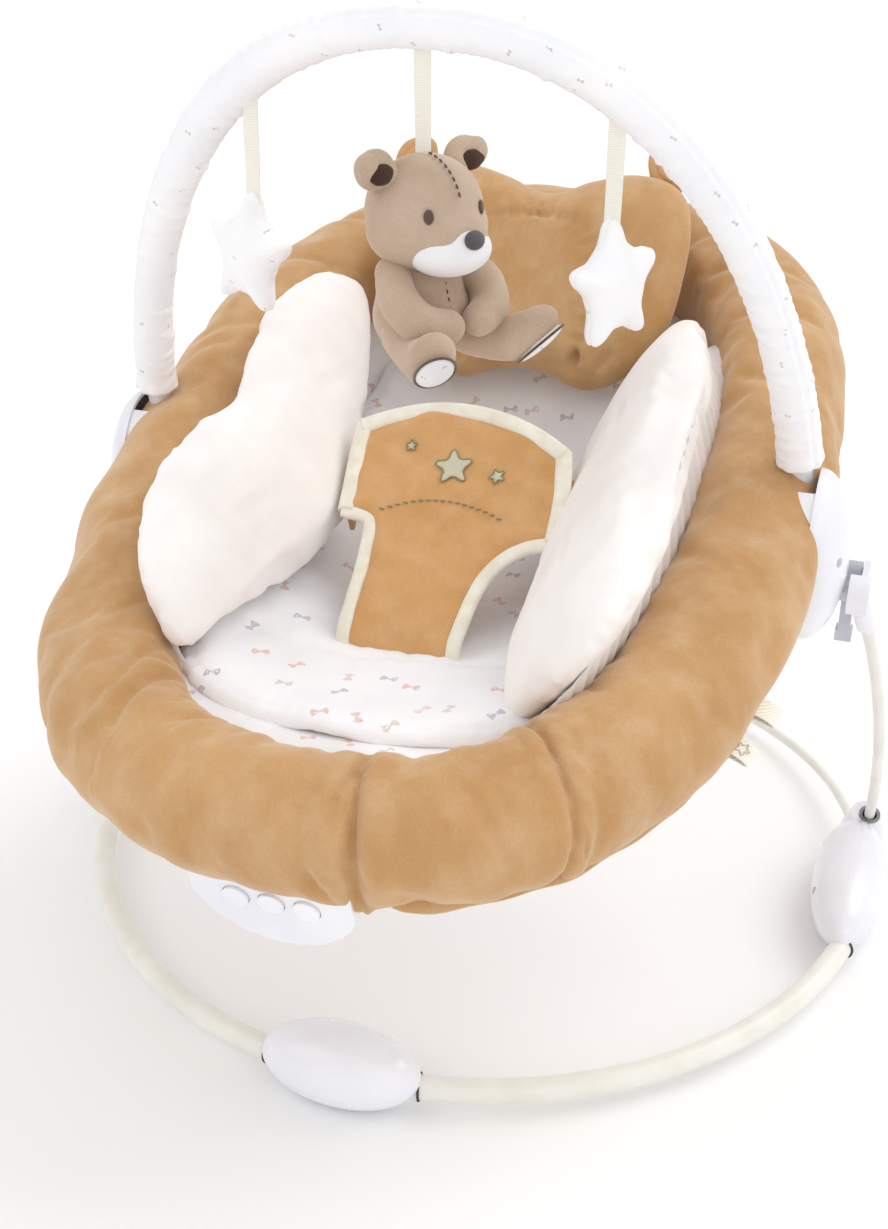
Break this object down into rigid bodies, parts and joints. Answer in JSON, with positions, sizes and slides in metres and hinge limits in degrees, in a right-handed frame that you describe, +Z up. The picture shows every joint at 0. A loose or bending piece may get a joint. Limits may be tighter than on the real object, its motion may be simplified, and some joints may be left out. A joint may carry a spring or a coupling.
{
  "type": "baby bouncer seat",
  "caption": "Reclined infant bouncer: padded oval seat with liner, headrest and harness on a sprung tubular ring base, with a play arch carrying a soft bear and stars.",
  "frame": {"origin": "on the floor, under the centre of the overall box", "axes": "+Z up, -Y towards the baby's feet and the control module, +X to the right seen from the feet; X = 0 is the plane of symmetry"},
  "size_m": [0.634, 0.707, 0.651],
  "materials": {
    "tube_white": "cream-white enamel",
    "frame_steel": "grey primer",
    "shell_white": "gloss moulded",
    "button_white": "satin moulded",
    "lever_grey": "moulded",
    "rubber_grey": "matt",
    "screw_steel": "zinc plated",
    "velour_tan": "short pile",
    "quilt_white": "quilted cotton with small pastel print",
    "bolster_cream": "soft brushed pile",
    "cover_cotton": "gathered cotton with tiny print",
    "ribbon_cream": "grosgrain ribbon",
    "bear_plush": "short plush",
    "star_cotton": "cotton with tiny print",
    "board_green": "solder mask",
    "cell_metal": "printed can",
    "speaker_black": "cone and basket"
  },
  "bodies": {
    "base": {"front_tube_left": "tube_white", "front_tube_right": "tube_white", "front_tube_joiner": "frame_steel", "front_pod_upper": "shell_white", "front_pod_lower": "shell_white", "side_pod_inner_halves": "shell_white", "side_pod_outer_halves": "shell_white", "rod_grommets": "rubber_grey", "pod_screws": "screw_steel", "foot_pads": "rubber_grey", "rear_rod": "tube_white", "rear_foot_sleeve": "rubber_grey"},
    "suspension": {"uprights": "tube_white", "knuckles": "shell_white", "recline_axles": "frame_steel"},
    "seat": {"seat_tube_front": "frame_steel", "seat_tube_rear": "frame_steel", "seat_brackets": "shell_white", "hub_inner_housings": "shell_white", "hub_outer_covers": "shell_white", "hub_screws": "screw_steel", "seat_sling": "quilt_white", "liner_pad": "quilt_white", "rim_cushion": "velour_tan", "bolster_left": "bolster_cream", "bolster_right": "bolster_cream", "headrest_pillow": "velour_tan", "headrest_ears": "velour_tan", "waist_bands": "velour_tan", "harness_panel": "velour_tan", "side_tags": "ribbon_cream", "module_shell": "shell_white", "module_back": "shell_white", "battery_door": "shell_white", "battery_door_screw": "screw_steel", "circuit_board": "board_green", "battery_cells": "cell_metal", "vibration_motor": "cell_metal", "speaker": "speaker_black", "module_clips": "shell_white"},
    "recline_lever_left": {"recline_lever_left": "lever_grey"},
    "recline_lever_right": {"recline_lever_right": "lever_grey"},
    "arch_release_left": {"arch_release_left": "button_white"},
    "arch_release_right": {"arch_release_right": "button_white"},
    "control_button_left": {"control_button_left": "button_white"},
    "control_button_middle": {"control_button_middle": "button_white"},
    "control_button_right": {"control_button_right": "button_white"},
    "play_arch": {"arch_feet": "shell_white", "arch_tube": "frame_steel", "arch_cover": "cover_cotton"},
    "bear": {"bear_strap": "ribbon_cream", "bear_head": "bear_plush", "bear_body": "bear_plush", "bear_arms": "bear_plush", "bear_legs": "bear_plush"},
    "star_left": {"star_strap_left": "ribbon_cream", "star_left": "star_cotton"},
    "star_right": {"star_strap_right": "ribbon_cream", "star_right": "star_cotton"}
  },
  "joints": [
    {"name": "bounce", "type": "hinge", "parent": "base", "child": "suspension", "pos_m": [0, 0.114, 0.044], "axis": [1, 0, 0], "range_deg": [-3, 5], "stiffness_Nm_per_rad": 60, "springref_deg": -3.15},
    {"name": "seat_recline", "type": "hinge", "parent": "suspension", "child": "seat", "pos_m": [0, -0.013, 0.292], "axis": [1, 0, 0], "range_deg": [-10, 6]},
    {"name": "arch_tilt", "type": "hinge", "parent": "seat", "child": "play_arch", "pos_m": [0, -0.00514, 0.33195], "axis": [1, 0, 0], "range_deg": [-35, 8]},
    {"name": "bear_swing", "type": "hinge", "parent": "play_arch", "child": "bear", "pos_m": [0, -0.08478, 0.63465], "axis": [1, 0, 0], "range_deg": [-20, 20]},
    {"name": "star_swing_left", "type": "hinge", "parent": "play_arch", "child": "star_left", "pos_m": [-0.111, -0.07641, 0.60283], "axis": [0.8385, -0.1386, 0.527], "range_deg": [-20, 20]},
    {"name": "lever_pull_left", "type": "hinge", "parent": "suspension", "child": "recline_lever_left", "pos_m": [-0.263, 0.017, 0.296], "axis": [1, 0, 0], "range_deg": [0, 18], "stiffness_Nm_per_rad": 0.2, "springref_deg": -2.86},
    {"name": "arch_release_push_left", "type": "slide", "parent": "seat", "child": "arch_release_left", "axis": [0, 1, 0], "range_m": [0, 0.002], "stiffness_N_per_m": 300},
    {"name": "star_swing_right", "type": "hinge", "parent": "play_arch", "child": "star_right", "pos_m": [0.111, -0.07641, 0.60283], "axis": [0.8385, 0.1386, -0.527], "range_deg": [-20, 20]},
    {"name": "lever_pull_right", "type": "hinge", "parent": "suspension", "child": "recline_lever_right", "pos_m": [0.263, 0.017, 0.296], "axis": [1, 0, 0], "range_deg": [0, 18], "stiffness_Nm_per_rad": 0.2, "springref_deg": -2.86},
    {"name": "arch_release_push_right", "type": "slide", "parent": "seat", "child": "arch_release_right", "axis": [0, 1, 0], "range_m": [0, 0.002], "stiffness_N_per_m": 300},
    {"name": "button_push_left", "type": "slide", "parent": "seat", "child": "control_button_left", "axis": [0, 0.9608, 0.2773], "range_m": [0, 0.0015], "stiffness_N_per_m": 400},
    {"name": "button_push_middle", "type": "slide", "parent": "seat", "child": "control_button_middle", "axis": [0, 0.9608, 0.2773], "range_m": [0, 0.0015], "stiffness_N_per_m": 400},
    {"name": "button_push_right", "type": "slide", "parent": "seat", "child": "control_button_right", "axis": [0, 0.9608, 0.2773], "range_m": [0, 0.0015], "stiffness_N_per_m": 400}
  ]
}
